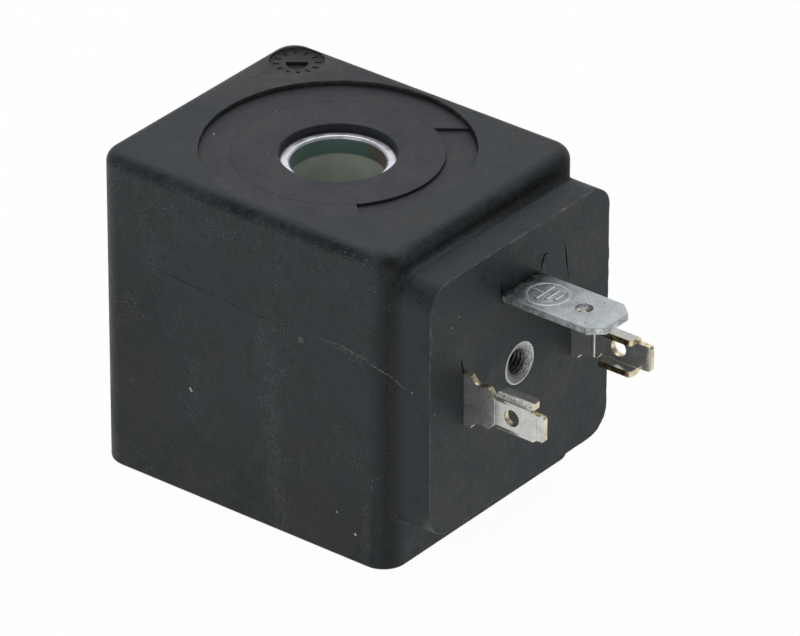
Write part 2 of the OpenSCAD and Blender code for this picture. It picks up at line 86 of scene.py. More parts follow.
# Recess, sunken panel and dial in the top
RECESS_R = 14.4
RECESS_FLOOR = 36.1
RIM_R = 0.12
RIM_START = 75.0
RIM_STEPS = 4
FLOOR_R = 0.1
FLOOR_LINE_R = 11.0
FLOOR_LINE_W = 0.07
FLOOR_LINE_DEPTH = 0.035
LIP_R = 6.15
LIP_CHAMFER = 0.15
RING_Z = 35.2
BORE_WALL_R = 5.3
ROUND_STEPS = 160
PANEL_IN = 11.1
PANEL_OUT = 14.37
PANEL_DEPTH = 0.3
PANEL_START = -132.0
PANEL_END = -31.0
PANEL_LEAN = 7.0
PANEL_STEPS = 60
DIAL_AT = (12.1, 15.2)
DIAL_R = 2.9
DIAL_DEPTH = 0.4
DIAL_STEPS = 72
DIAL_FOOT = ((0.03, 0.06), (0.1, 0.0))
DIAL_TURN = -52.0
DIAL_POCKET_R = 1.25
DIAL_POCKET_LONG = 1.4
DIAL_POCKET_SHIFT = 0.3
DIAL_POCKET_DEPTH = 0.8
DIAL_POCKET_DRAFT = 0.1
DIAL_TICKS = 12
DIAL_TICK_AT = 2.2
DIAL_TICK_TURN = 12.0
DIAL_TICK_SIZE = (0.7, 0.36, 0.09)

# Room for the coil, its frame and the connector pieces inside the moulding
COIL_R = 14.25
COIL_Z = (3.2, 33.25)
COLLAR_R = 6.15
COLLAR_Z = (-1.0, 2.0)
FRAME_BOXES = (
    ((-12.05, -16.55, 33.15), (12.05, 16.55, 35.25)),
    ((-12.05, -16.55, 1.15), (12.05, 16.55, 3.25)),
    ((-7.05, -16.55, 1.2), (7.05, -14.0, 34.0)),
    ((-12.05, 14.0, 1.2), (12.05, 16.55, 34.0)),
)
AXIS_Z = 19.6
TERMINAL_X = 9.0
TERMINAL_GAP = (0.75, 6.15)
TERMINAL_DEPTH = 7.65
EARTH_Z = 28.6
EARTH_T = 0.8
EARTH_GAP = (6.44, 0.92)
INSERT_GAP = 0.05

# Pressed lines across each terminal: outer or inner face, reach from pad, half height, width, relief
PRESS_LINES = (
    (1, 3.87, 1.55, 0.3, 0.01),
    (1, 9.38, 1.25, 0.3, 0.01),
    (-1, 2.85, 2.15, 0.6, 0.08),
)
TERMINAL_T = 0.7

# Material numbers of a terminal's faces
PLATED, CUT_EDGE, FOLD, SHADED_EDGE = range(4)

# Fine open joints in the moulding, as X and Z on the pad's face, with their width and depth
SLITS = (
    (((7.44, 30.5), (7.6, 29.4), (7.75, 28.26), (8.27, 25.38)), 0.2, 0.5),
    (((4.66, 30.59), (3.95, 30.55), (3.65, 29.89), (3.35, 28.87)), 0.36, 0.8),
    (((-3.37, 30.74), (-3.15, 29.62), (-3.0, 28.6), (-2.87, 27.7)), 0.44, 0.8),
    (((-9.95, 24.9), (-9.7, 23.9), (-9.45, 22.9), (-9.3, 22.6)), 0.24, 0.5),
)

# Knit line of the moulding, as Y and Z on the left side and then as the angle round the upright edge
# and Z, and where its pale burrs lie, as X less Y and Z
KNIT_SIDE = (
    (11.5, 25.45), (8.0, 25.3), (3.0, 25.0), (-2.0, 24.8), (-8.0, 24.9), (-13.0, 25.1), (-16.2, 24.7),
)
KNIT_CORNER = ((14.0, 24.35), (24.0, 24.05))
KNIT_BURRS = ((-8.0, 24.9), (-3.0, 25.1), (0.2, 24.7), (5.3, 22.3))
KNIT_W = 0.09
KNIT_DEPTH = 0.035

# Threaded insert on the connector's axis, measured back from the pad's face
INSERT_RIM_R = 2.4
INSERT_BODY_R = 3.0
INSERT_SHOULDER = 0.8
INSERT_LEN = 7.2
INSERT_HOLE_STEPS = 96
SINK_R = 2.2
SINK_DEPTH = 0.5
THREAD_R = 1.25
THREAD_DEPTH = 0.28
THREAD_PITCH = 0.5
THREAD_END = 6.2
THREAD_STEPS = 72
THREAD_RINGS_PER_TURN = 10

# Earth sign raised on the earth blade
SIGN_REACH = 3.4
SIGN_R = 2.24
SIGN_LINE_W = 0.64
SIGN_HEIGHT = 0.032
SIGN_STROKE_W = 0.54
SIGN_STROKE_HEIGHT = 0.12
SIGN_SINK = 0.03
SIGN_STEPS = 48
SIGN_STEM = (1.75, 0.3)
SIGN_BARS = ((1.55, 0.3), (1.05, -0.65), (0.68, -1.45))

# Softening of the meshes, with angles in degrees
SHARP_ANGLE = 35.0
CREASE_ANGLE = 4.0
CREASE_AREA = 0.5
NORMAL_WEIGHT = 80
MERGE_GAP = 0.0005
FLAT_ANGLE = 1.5
HARD_ANGLE = 25.0
TERMINAL_SOFT = 0.05
BLADE_SOFT = 0.07
PLATE_SOFT = 0.06

# Scuff, streak and line on the moulding's left side: place on Y or Z, half width, and where each fades
LEFT_SKIN = (-15.5, -15.9)
SCUFF_Y = -3.6
SCUFF_W = 1.9
SCUFF_LEAN = 0.075
SCUFF_FADE = (27.0, 21.0, 0.2, 1.0)
STREAK_Y = -16.3
STREAK_W = 0.9
STREAK_FADE = (11.0, 6.0)
LIP_LINE_Z = 24.6
LIP_LINE_W = 0.2
LIP_LINE_FADE = (-7.0, -12.0)
DUST_RISE = (26.0, 33.0, 0.0, 0.8)

# Pale burrs on the knit line, which lie at the front upright edge: half width and where they fade
BURR_W = 0.17
BURR_SKIN = (-14.2, -14.6)
BURR_START = (-12.0, -2.0, 0.1, 1.0)
BURR_END = (6.0, 4.5)

# Painted shade in the creases at the pad's root, and the left side made darker towards its bottom and
# back: place, half width, and where each fades
CREASE_AT = -3.5
CREASE_W = 2.4
CREASE_SKIN = (13.6, 14.4)
TOP_CREASE_Y = -FRONT - 0.5
TOP_CREASE_W = (0.95, 0.45)
TOP_CREASE_SKIN = (33.5, 34.0)
TOP_CREASE_FADE = (-9.0, 7.0)
DARKER_LOW_Z = (16.0, 3.0)
DARKER_BACK_Y = (4.0, 14.0)
DARKER_BACK_Z = (30.0, 20.0)
DARKER_LOW_SHARE = 0.65

# Single flecks on the moulding: place, radius and grey
FLECKS = (
    ((-16.0, 6.85, 12.8), 0.16, 0.5),
    ((-16.0, 6.7, 12.6), 0.16, 0.5),
    ((-16.0, -7.85, 23.9), 0.45, 0.075),
    ((-16.0, -14.9, 3.4), 0.2, 0.4),
    ((-16.0, -12.5, 5.2), 0.15, 0.3),
    ((-11.4, -PAD_FACE, 28.9), 0.1, 0.4),
    ((-10.2, -PAD_FACE, 29.6), 0.1, 0.35),
    ((-14.1, -PAD_FACE, 19.9), 0.1, 0.3),
    ((-14.9, -21.4, 22.1), 0.12, 0.25),
    ((-4.9, 12.5, RECESS_FLOOR), 0.14, 0.35),
    ((3.0, 10.6, RECESS_FLOOR), 0.12, 0.2),
)

# Part of a cloudy texture's range that the tones of the plastic and the metals are spread over
MID_TONES = (0.36, 0.64)

# Moulded plastic, with its colour in layers from the bottom up: share and tone
PLASTIC_SPECULAR = 0.32
PLASTIC_DARK = (0.0006, 0.0032, 0.0045)
PLASTIC_LIGHT = (0.0195, 0.031, 0.0355)
# Colour of rubbed plastic, also used as painted light on the recess's rim and the bottom edge
PLASTIC_WORN_AND_LIT = (0.13, 0.135, 0.14)
PLASTIC_LAYERS = {
    "recess": (0.55, (0.027, 0.0275, 0.0335)),
    "panel_ring": (0.5, (0.004, 0.004, 0.005)),
    # painted shade on the recess's wall
    "recess_wall_shade": (1.0, (0.003, 0.0032, 0.0036)),
    # lighter towards one back corner of the top, outside the recess
    "lighter_back_corner": (1.0, (0.034, 0.033, 0.037)),
    "dial": (0.7, (0.009, 0.0092, 0.011)),
    "scuffed": (0.5, (0.04, 0.046, 0.05)),
    # painted shade in the creases at the pad's root, and the left side darker towards its bottom and
    # back
    "dark": (0.75, (0.0, 0.0, 0.0)),
    "rubbed_and_highlit": (0.5, (0.085, 0.09, 0.092)),
    "haze": (0.4, (0.09, 0.098, 0.1)),
    "dust": (1.0, (0.22, 0.235, 0.23)),
    "grains": (0.35, (0.06, 0.064, 0.066)),
    "specks": (1.0, (0.24, 0.26, 0.25)),
    "burrs": (1.0, (0.2, 0.21, 0.21)),
}
PLASTIC_ROUGH = (0.4, 0.64)
CREASE_ROUGH = 0.3
SCUFF_ROUGH = 0.1
PLASTIC_RELIEF = 0.045
# Middle and reach of the lighter back corner of the top
LIGHTER_CORNER_AT = (13.0, 18.0, BLOCK_H)
LIGHTER_CORNER_R = 18.0

# Metals: dark and light tone, roughness, grains in a millimetre and their relief
METALS = {
    "tin_plate": ((0.46, 0.46, 0.445), (0.64, 0.64, 0.61), (0.16, 0.24), 5.0, 0.003),
    "creased_tin": ((0.26, 0.26, 0.24), (0.84, 0.83, 0.78), (0.4, 0.5), 6.5, 0.03),
    "bare_brass": ((0.52, 0.45, 0.27), (0.84, 0.79, 0.58), (0.3, 0.45), 2.5, 0.012),
    # Darker brass on the flanges' sideways cut edges, as painted shade
    "shaded_brass": ((0.09, 0.065, 0.03), (0.36, 0.28, 0.15), (0.3, 0.45), 1.6, 0.01),
    "zinc_plate": ((0.345, 0.385, 0.39), (0.5, 0.55, 0.555), (0.34, 0.46), 4.0, 0.012),
    "zinc_relief": ((0.35, 0.39, 0.4), (0.51, 0.55, 0.56), (0.42, 0.54), 4.0, 0.012),
    "sheared_zinc": ((0.2, 0.21, 0.21), (0.7, 0.72, 0.73), (0.35, 0.55), 5.0, 0.05),
    # Thread darkened as painted shade deep in the insert's bore
    "thread_shade": ((0.05, 0.05, 0.05), (0.22, 0.22, 0.215), (0.4, 0.6), 3.0, 0.02),
    "satin_zinc": ((0.62, 0.63, 0.65), (0.74, 0.75, 0.77), (0.4, 0.5), 1.5, 0.004),
    "solder": ((0.5, 0.5, 0.5), (0.7, 0.7, 0.7), (0.25, 0.4), 1.5, 0.02),
}
METAL_EXTRAS = {
    "tin_plate": {"metallic": 0.8},
    "creased_tin": {"grain_share": 0.9, "metallic": 0.5},
    "zinc_plate": {"pits": 0.3, "root_stain": 0.9},
}
STAIN_REACH = 2.8
# Middle of the painted lip shade on the top plate, set off the axis so that it reaches further in on
# the far side
PLATE_SHADE_AT = (-0.13, -0.1, RING_Z)

# Insulation: dark and light tone, roughness and features in a millimetre
INSULATION = {
    "khaki_nylon": ((0.38, 0.41, 0.35), (0.45, 0.49, 0.42), 0.5, 0.4),
    "polyester_tape": ((0.55, 0.40, 0.09), (0.72, 0.56, 0.16), 0.3, 0.8),
    "glass_sleeve": ((0.62, 0.60, 0.52), (0.8, 0.78, 0.7), 0.6, 2.0),
}

# Camera fitted to the photograph, with how far it sees in metres
CAMERA_AZIMUTH = -51.824
CAMERA_ELEVATION = 29.967
CAMERA_ROLL = 0.10
CAMERA_DISTANCE = 869.87
CAMERA_TARGET = (0.0, 0.0, 18.0)
CAMERA_SLIDE = (6.371, -1.346)
CAMERA_LENS = 377.1
SENSOR_W = 36.0
CAMERA_CLIP = 20.0

# Floor, surroundings and lamps: the floor's size and each lamp's place and size are in metres
FLOOR_SIZE = 3.0
FLOOR_GAP = 0.02
FLOOR_GLOW = 0.97
FLOOR_WHITE = (0.9, 0.9, 0.9, 1.0)
WORLD_LIGHT = 0.55
WORLD_BRIGHT_SIDE = (0.681, 0.5355, 0.4995)
WORLD_FALL = (0.3, 0.9, 0.18, 0.91)
WORLD_TINT = (1.0, 0.97, 1.01)
LIGHTS = (
    ("top_light", (0.25, 0.15, 1.0), 0.9, 3.5),
    ("left_light", (-0.8, -0.1, 0.5), 0.6, 1.0),
)


def rounded_rect(width, height, radius, corner_steps, side_steps=1):
    """Points round a rectangle with round corners, anticlockwise, each with its outward direction."""
    points = []
    corners = ((1, 1), (-1, 1), (-1, -1), (1, -1))
    centres = [Vector((sx * (width / 2 - radius), sy * (height / 2 - radius))) for sx, sy in corners]
    for quarter, centre in enumerate(centres):
        for step in range(corner_steps + 1):
            angle = math.radians(90 * (quarter + step / corner_steps))
            out = Vector((math.cos(angle), math.sin(angle)))
            points.append((centre + radius * out, out))
        start = points[-1][0]
        end = centres[(quarter + 1) % 4] + radius * out
        for step in range(1, side_steps):
            points.append((start.lerp(end, step / side_steps), out))
    return points


def polar(radius, angle, centre=(0.0, 0.0)):
    """Point at a distance and an angle from a centre."""
    return centre[0] + radius * math.cos(angle), centre[1] + radius * math.sin(angle)


def circle_ring(radius, z, steps, centre=(0.0, 0.0)):
    """Level ring of points round a centre."""
    return [(*polar(radius, math.tau * i / steps, centre), z) for i in range(steps)]


def loft(rings, closed=False, bm=None):
    """Skin over rings of equally many points, with a flat cap on each end or closed end to end."""
    if bm is None:
        bm = bmesh.new()
    loops = [[bm.verts.new(p) for p in ring] for ring in rings]
    count = len(loops[0])
    following = loops[1:] + loops[:1] if closed else loops[1:]
    for low, high in zip(loops, following):
        for i in range(count):
            j = (i + 1) % count
            bm.faces.new((low[i], low[j], high[j], high[i]))
    if not closed:
        bm.faces.new(loops[0][::-1])
        bm.faces.new(loops[-1])
    return bm


def as_object(name, bm):
    """Object made from a mesh under construction, with its faces turned outwards."""
    bmesh.ops.recalc_face_normals(bm, faces=bm.faces)
    mesh = bpy.data.meshes.new(name)
    bm.to_mesh(mesh)
    bm.free()
    obj = bpy.data.objects.new(name, mesh)
    bpy.context.scene.collection.objects.link(obj)
    return obj


def boolean(obj, bm, operation):
    """Joins a mesh under construction to an object, or cuts it away, and keeps the result."""
    cutter = as_object("cutter", bm)
    modifier = obj.modifiers.new("boolean", "BOOLEAN")
    modifier.operation = operation
    modifier.solver = "EXACT"
    modifier.object = cutter
    bake_modifiers(obj)
    old = cutter.data
    bpy.data.objects.remove(cutter)
    bpy.data.meshes.remove(old)


def bake_modifiers(obj):
    """Replaces an object's mesh by its result with every modifier applied."""
    shown = obj.evaluated_get(bpy.context.evaluated_depsgraph_get())
    old = obj.data
    obj.data = bpy.data.meshes.new_from_object(shown)
    obj.modifiers.clear()
    bpy.data.meshes.remove(old)


def crease_flats(mesh):
    """Keeps the shallow edge between two broad flat faces crisp."""
    bm = bmesh.new()
    bm.from_mesh(mesh)
    area = CREASE_AREA * MM ** 2
    for edge in bm.edges:
        if edge.is_manifold and edge.calc_face_angle() > math.radians(CREASE_ANGLE):
            if min(face.calc_area() for face in edge.link_faces) > area:
                edge.smooth = False
    bm.to_mesh(mesh)
    bm.free()


def finish_mesh(obj):
    """Smooth shading that follows the large faces and stays sharp at the hard edges."""
    obj.data.shade_smooth()
    obj.data.set_sharp_from_angle(angle=math.radians(SHARP_ANGLE))
    crease_flats(obj.data)
    modifier = obj.modifiers.new("normals", "WEIGHTED_NORMAL")
    modifier.keep_sharp = True
    modifier.weight = NORMAL_WEIGHT
    bake_modifiers(obj)
    return obj


def place(obj, slot, *nodes):
    """Sets a finished piece on the coil's one body, in place of the nodes that it stands for."""
    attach(obj, "root")
    if nodes:
        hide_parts(*nodes)
    return obj


def front_reach(x):
    """How far the block's front stands out along -Y at one place across it."""
    past = max(0.0, abs(x) - (BLOCK_W / 2 - UPRIGHT_R))
    return FRONT - UPRIGHT_R + math.sqrt(max(0.0, UPRIGHT_R ** 2 - past ** 2))


def root_fillet(point, out):
    """Offsets and reaches along the fillet between the block's front and the pad's wall."""
    spread = [2 * ROOT_R * k / ROOT_SAMPLES for k in range(ROOT_SAMPLES + 1)]
    front = [front_reach(point.x + u * out.x) - ROOT_SINK for u in spread]

    def clearance(reach):
        return min((math.hypot(u - ROOT_R, reach - f), u, f) for u, f in zip(spread, front))

    low = min(front)
    high = max(front) + 2 * ROOT_R
    for _ in range(ROOT_HALVINGS):
        middle = (low + high) / 2
        if clearance(middle)[0] < ROOT_R:
            low = middle
        else:
            high = middle
    _, u, f = clearance(high)
    contact = math.atan2(f - high, u - ROOT_R) % math.tau
    angles = [contact + (math.pi - contact) * k / ROOT_STEPS for k in range(ROOT_STEPS + 1)]
    return [(ROOT_R * (1 + math.cos(a)), high + ROOT_R * math.sin(a)) for a in angles]


def flash_height(point):
    """Height of the ragged mould line at one place round the pad's face."""
    broad = noise.noise(Vector((point.x * 0.12, point.y * 0.12, 3.7)))
    fine = noise.noise(Vector((point.x * 1.9, point.y * 1.9, 8.1)))
    return FLASH_MAX * max(0.12, min(1.0, 0.45 + 0.9 * broad + 0.5 * fine))


def ragged_edge(x, y):
    """How far the pad's edge strays outwards at one place of its outline."""
    return RAGGED_MAX * noise.noise(Vector((x * 0.7, y * 0.7, 1.3)))


def block_mesh():
    """Block with round upright edges, round top edges and a slightly broken base edge."""
    rings = []
    for step in range(BASE_STEPS + 1):
        angle = math.radians(90 * step / BASE_STEPS)
        rings.append((BASE_R * (1 - math.sin(angle)), BASE_R * (1 - math.cos(angle))))
    for step in range(EDGE_STEPS + 1):
        angle = math.radians(90 * step / EDGE_STEPS)
        rings.append((TOP_R * (1 - math.cos(angle)), BLOCK_H - TOP_R + TOP_R * math.sin(angle)))
    return loft([
        [
            (*p, z) for p, _ in rounded_rect(
                BLOCK_W - 2 * inset, BLOCK_D - 2 * inset, UPRIGHT_R - inset, EDGE_STEPS
            )
        ]
        for inset, z in rings
    ])


def pad_mesh():
    """Pad with its root fillet, running back into the block, and the mould line round its face."""
    columns = []
    for point, out in rounded_rect(PAD_W, PAD_H, PAD_R, EDGE_STEPS, PAD_SIDE_STEPS):
        flash = flash_height(point)
        ragged = ragged_edge(*point)
        fillet = root_fillet(point, out)
        profile = [(fillet[0][0], PAD_BACK)] + fillet + [
            (0.0, PAD_FACE - PAD_WALL_MID),
            (0.0, PAD_FACE - EDGE_BREAK),
            (ragged + 0.4 * flash, PAD_FACE - 0.05),
            (ragged + 0.25 * flash, PAD_FACE + 0.4 * flash),
            (ragged - 0.07, PAD_FACE + 0.1 * flash),
            (ragged - EDGE_BREAK, PAD_FACE),
        ]
        columns.append([
            (point.x + offset * out.x, -reach, PAD_Z + point.y + offset * out.y)
            for offset, reach in profile
        ])
    return loft(list(zip(*columns)))


def revolved(profile, steps=ROUND_STEPS, centre=(0.0, 0.0)):
    """Closed solid of revolution from a list of radius and height."""
    return loft([circle_ring(r, z, steps, centre) for r, z in profile])


def rim_profile(radius, top):
    """Profile of a cutter that leaves a small round rim where a pocket meets a flat top."""
    start = math.radians(RIM_START)
    centre = (radius + RIM_R, top - RIM_R)
    lead_in = (
        centre[0] - RIM_R * math.cos(start) + 2 * RIM_R * math.sin(start),
        centre[1] + RIM_R * math.sin(start) + 2 * RIM_R * math.cos(start),
    )
    arc = [start * (1 - k / RIM_STEPS) for k in range(RIM_STEPS + 1)]
    return [lead_in] + [(centre[0] - RIM_R * math.cos(a), centre[1] + RIM_R * math.sin(a)) for a in arc]


def recess_cutter():
    """Round recess with its faint floor line, and the hole over the steel ring."""
    corner = [
        (RECESS_R - FLOOR_R + FLOOR_R * math.cos(a), RECESS_FLOOR + FLOOR_R - FLOOR_R * math.sin(a))
        for a in (math.radians(30 * k) for k in range(4))
    ]
    floor_line = [
        (FLOOR_LINE_R + FLOOR_LINE_W, RECESS_FLOOR),
        (FLOOR_LINE_R, RECESS_FLOOR - FLOOR_LINE_DEPTH),
        (FLOOR_LINE_R - FLOOR_LINE_W, RECESS_FLOOR),
    ]
    lip = [
        (LIP_R + LIP_CHAMFER, RECESS_FLOOR),
        (LIP_R + LIP_CHAMFER * 0.4, RECESS_FLOOR - LIP_CHAMFER * 0.3),
        (LIP_R + LIP_CHAMFER * 0.1, RECESS_FLOOR - LIP_CHAMFER * 0.7),
        (LIP_R, RECESS_FLOOR - LIP_CHAMFER * 1.3),
        (LIP_R, RING_Z - 1.0),
    ]
    return revolved(rim_profile(RECESS_R, BLOCK_H) + corner + floor_line + lip)


def panel_cutter():
    """Sunken arc panel with one leaning end."""
    outer = [PANEL_START + (PANEL_END - PANEL_START) * k / PANEL_STEPS for k in range(PANEL_STEPS + 1)]
    inner_end = PANEL_END + PANEL_LEAN
    inner = [inner_end + (PANEL_START - inner_end) * k / PANEL_STEPS for k in range(PANEL_STEPS + 1)]
    edge = [(PANEL_OUT, a) for a in outer] + [(PANEL_IN, a) for a in inner]
    return loft([
        [(*polar(r, math.radians(a)), z) for r, a in edge]
        for z in (RECESS_FLOOR - PANEL_DEPTH, RECESS_FLOOR + PANEL_DEPTH)
    ])


def dial_cutter():
    """Round dial recess."""
    floor = BLOCK_H - DIAL_DEPTH
    foot = [(DIAL_R - inset, floor + rise) for inset, rise in DIAL_FOOT]
    return revolved(rim_profile(DIAL_R, BLOCK_H) + foot, DIAL_STEPS, DIAL_AT)


def dial_pocket_cutter():
    """Deeper half oval pocket in the dial's middle."""
    turn = Matrix.Translation((*DIAL_AT, 0)) @ Matrix.Rotation(math.radians(DIAL_TURN), 4, "Z")
    half = [math.radians(180 + 10 * k) for k in range(19)]
    rings = []
    for draft, sink in ((0.0, 0.0), (DIAL_POCKET_DRAFT, DIAL_POCKET_DEPTH)):
        r = DIAL_POCKET_R - draft
        z = BLOCK_H - sink
        outline = [
            (r * math.cos(a), DIAL_POCKET_SHIFT + DIAL_POCKET_LONG * r * math.sin(a), z) for a in half
        ]
        rings.append([turn @ Vector(p) for p in outline])
    return loft(rings)


def dial_tick_cutter():
    """Short radial marks round the dial's floor."""
    bm = bmesh.new()
    length, width, depth = DIAL_TICK_SIZE
    for k in range(DIAL_TICKS):
        angle = math.radians(DIAL_TICK_TURN + 360 * k / DIAL_TICKS)
        matrix = (
            Matrix.Translation((*DIAL_AT, BLOCK_H - DIAL_DEPTH))
            @ Matrix.Rotation(angle, 4, "Z")
            @ Matrix.Translation((DIAL_TICK_AT, 0, 0))
            @ Matrix.Diagonal((length, width, 2 * depth, 1))
        )
        bmesh.ops.create_cube(bm, size=1.0, matrix=matrix)
    return bm


def box_cutter(low, high):
    """Upright box between two corners, to cut away."""
    bm = bmesh.new()
    low, high = Vector(low), Vector(high)
    matrix = Matrix.Translation((low + high) / 2) @ Matrix.Diagonal((*(high - low), 1))
    bmesh.ops.create_cube(bm, size=1.0, matrix=matrix)
    return bm


def pad_slot_cutter(x, z, width, height, depth):
    """Slot in the pad's face for a blade."""
    return box_cutter(
        (x - width / 2, -PAD_FACE - 1, z - height / 2),
        (x + width / 2, -PAD_FACE + depth, z + height / 2),
    )


def out_of_pad(bm):
    """Turns a mesh drawn along Z, with the pad's face at zero, to the connector's axis."""
    turn = Matrix.Translation((0, -PAD_FACE, AXIS_Z)) @ Matrix.Rotation(math.radians(90), 4, "X")
    bmesh.ops.transform(bm, matrix=turn, verts=bm.verts)
    return bm


def insert_hole_cutter():
    """Stepped hole behind the pad's face for the insert."""
    rim = INSERT_RIM_R + INSERT_GAP
    body = INSERT_BODY_R + INSERT_GAP
    step = INSERT_GAP - INSERT_SHOULDER
    profile = [(rim, 1.0), (rim, step), (body, step), (body, -INSERT_LEN)]
    return out_of_pad(revolved(profile, INSERT_HOLE_STEPS))


def groove_cutter(path, width, depth):
    """Fine V groove along a path of points and their outward directions, running out at both ends."""
    last = len(path) - 1
    rings = []
    for i, (point, out) in enumerate(path):
        point, out = Vector(point), Vector(out)
        along = Vector(path[min(i + 1, last)][0]) - Vector(path[max(i - 1, 0)][0])
        taper = 0.25 if i in (0, last) else 1.0
        side = along.cross(out).normalized() * width * taper
        lift = out * depth
        rings.append([point + lift + side, point - lift * taper, point + lift - side])
    return loft(rings)


def mark_cutters():
    """Slits in the pad's face and the knit line on the block."""
    cutters = []
    for path, width, depth in SLITS:
        points = [((x, -PAD_FACE, z), (0, -1, 0)) for x, z in path]
        cutters.append(groove_cutter(points, width, depth))
    side = [((-BLOCK_W / 2, y, z), (-1, 0, 0)) for y, z in KNIT_SIDE]
    for angle, z in KNIT_CORNER:
        out = Vector((*polar(-1.0, math.radians(angle)), 0))
        centre = Vector((UPRIGHT_R - BLOCK_W / 2, UPRIGHT_R - FRONT, z))
        side.append((centre + UPRIGHT_R * out, out))
    cutters.append(groove_cutter(side, KNIT_W, KNIT_DEPTH))
    return cutters


def pad_edge_distance(x, z):
    """Distance outside the pad's round-cornered outline, negative inside it."""
    past_x = abs(x) - (PAD_W / 2 - PAD_R)
    past_z = abs(z - PAD_Z) - (PAD_H / 2 - PAD_R)
    outside = math.hypot(max(past_x, 0.0), max(past_z, 0.0))
    return outside + min(max(past_x, past_z), 0.0) - PAD_R


def wear_and_highlight_at(point):
    """Share of rubbed, lighter plastic at one place, in millimetres, with a painted highlight on the
    recess's rim and painted light along the bottom edge.
    """
    x, y, z = point
    broad = 0.5 + 0.5 * noise.noise(Vector((x * 0.35, y * 0.35, z * 0.35)))
    fine = 0.5 + 0.5 * noise.noise(Vector((x * 2.3, y * 2.3, z * 2.3)))
    edge = pad_edge_distance(x, z) - ragged_edge(x, z - PAD_Z)
    wear_and_highlight = 0.0
    if -y > PAD_FACE - 0.1 and edge > RUBBED_IN:
        least, gain, start = EDGE_WEAR
        wear_and_highlight = least + gain * max(0.0, broad * fine - start)
    low_corner = math.hypot(x + PAD_W / 2, z - (PAD_Z - PAD_H / 2))
    if -y > PAD_FACE - 0.5 * PAD_WALL_MID and edge > RUBBED_IN and low_corner < CORNER_WEAR_R:
        wear_and_highlight = max(wear_and_highlight, CORNER_WEAR * (1 - low_corner / CORNER_WEAR_R))
    # painted light along the bottom edge, where the white floor lights it
    if z < 0.5 * BASE_R:
        wear_and_highlight = max(wear_and_highlight, BASE_EDGE_LIGHT * fine)
    # painted highlight along the recess's rounded rim
    if abs(math.hypot(x, y) - RECESS_R) < RIM_R and RECESS_FLOOR + RIM_R < z < BLOCK_H - 0.02 * RIM_R:
        wear_and_highlight = max(wear_and_highlight, RIM_HIGHLIGHT * broad * fine)
    return min(1.0, wear_and_highlight)


def add_wear_and_highlight(obj):
    """Stores the wear and the painted edge light of each point of a finished mesh for its material."""
    layer = obj.data.attributes.new("wear_and_highlight", "FLOAT", "POINT")
    layer.data.foreach_set("value", [wear_and_highlight_at(v.co / MM) for v in obj.data.vertices])


def make_housing():
    """Moulded housing with its pad, top recess, dial and the room for everything inside."""
    housing = as_object("housing_shell", block_mesh())
    boolean(housing, pad_mesh(), "UNION")
    cutters = [recess_cutter(), panel_cutter(), dial_cutter(), dial_pocket_cutter(), dial_tick_cutter()]
    cutters.append(revolved([(COIL_R, z) for z in COIL_Z]))
    cutters.append(revolved([(COLLAR_R, z) for z in COLLAR_Z]))
    cutters += [box_cutter(low, high) for low, high in FRAME_BOXES]
    cutters += [
        pad_slot_cutter(side * TERMINAL_X, AXIS_Z, *TERMINAL_GAP, TERMINAL_DEPTH) for side in (-1, 1)
    ]
    cutters.append(pad_slot_cutter(0, EARTH_Z, *EARTH_GAP, INSERT_LEN))
    cutters.append(insert_hole_cutter())
    for cutter in cutters + mark_cutters():
        boolean(housing, cutter, "DIFFERENCE")
    housing.data.transform(Matrix.Scale(MM, 4))
    finish_mesh(housing)
    add_wear_and_highlight(housing)
    return place(housing, "housing", "housing")


def softened(node, name, width, sort_faces):
    """Copy of a solid's mesh with its hard edges rounded off and its faces sorted by material."""
    bm = bmesh.new()
    bm.from_mesh(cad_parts[node].data)
    bmesh.ops.remove_doubles(bm, verts=bm.verts, dist=MM * MERGE_GAP)
    flat = math.radians(FLAT_ANGLE)
    bmesh.ops.dissolve_limit(bm, angle_limit=flat, verts=bm.verts, edges=bm.edges)
    bm.normal_update()
    sort_faces(bm)
    limit = math.radians(HARD_ANGLE)
    hard = [e for e in bm.edges if e.is_manifold and e.calc_face_angle() > limit]
    bmesh.ops.bevel(
        bm, geom=hard, offset=width * MM, segments=2, profile=0.5, affect="EDGES", clamp_overlap=True
    )
    return finish_mesh(as_object(name, bm))


def points_on_faces(bm):
    """A point well inside each face, in the middle of its largest triangle."""
    found = {}
    for loops in bm.calc_loop_triangles():
        corners = [loop.vert.co for loop in loops]
        area = geometry.area_tri(*corners)
        face = loops[0].face
        if face not in found or area > found[face][0]:
            found[face] = (area, sum(corners, Vector()) / 3)
    return {face: point for face, (_, point) in found.items()}


def sort_terminal(bm):
    """Flat plated faces, cut edges, which have no near back, folds, and the flanges' sideways cut
    edges, darker as painted shade.
    """
    tree = BVHTree.FromBMesh(bm)
    sheet = 1.3 * TERMINAL_T * MM
    skin = 0.001 * MM
    sideways = 0.85
    level = 0.98
    for face, point in points_on_faces(bm).items():
        hit = tree.ray_cast(point - face.normal * skin, -face.normal)
        if hit[0] is None or hit[3] > sheet:
            # sideways cut edges get the darker brass as painted shade
            face.material_index = SHADED_EDGE if abs(face.normal.x) > sideways else CUT_EDGE
        elif abs(face.normal.x) < sideways and abs(face.normal.z) < level:
            face.material_index = FOLD
        else:
            face.material_index = PLATED


def sort_blade(bm):
    """Broad faces of the earth blade first, then its cut edges."""
    for face in bm.faces:
        face.material_index = 0 if abs(face.normal.z) > 0.7 else 1


def sort_plate(bm):
    """Outer faces of the top plate first, then the wall of its bore."""
    for face in bm.faces:
        inward = face.calc_center_bounds().xy.length < BORE_WALL_R * MM
        face.material_index = 1 if inward and abs(face.normal.z) < 0.3 else 0


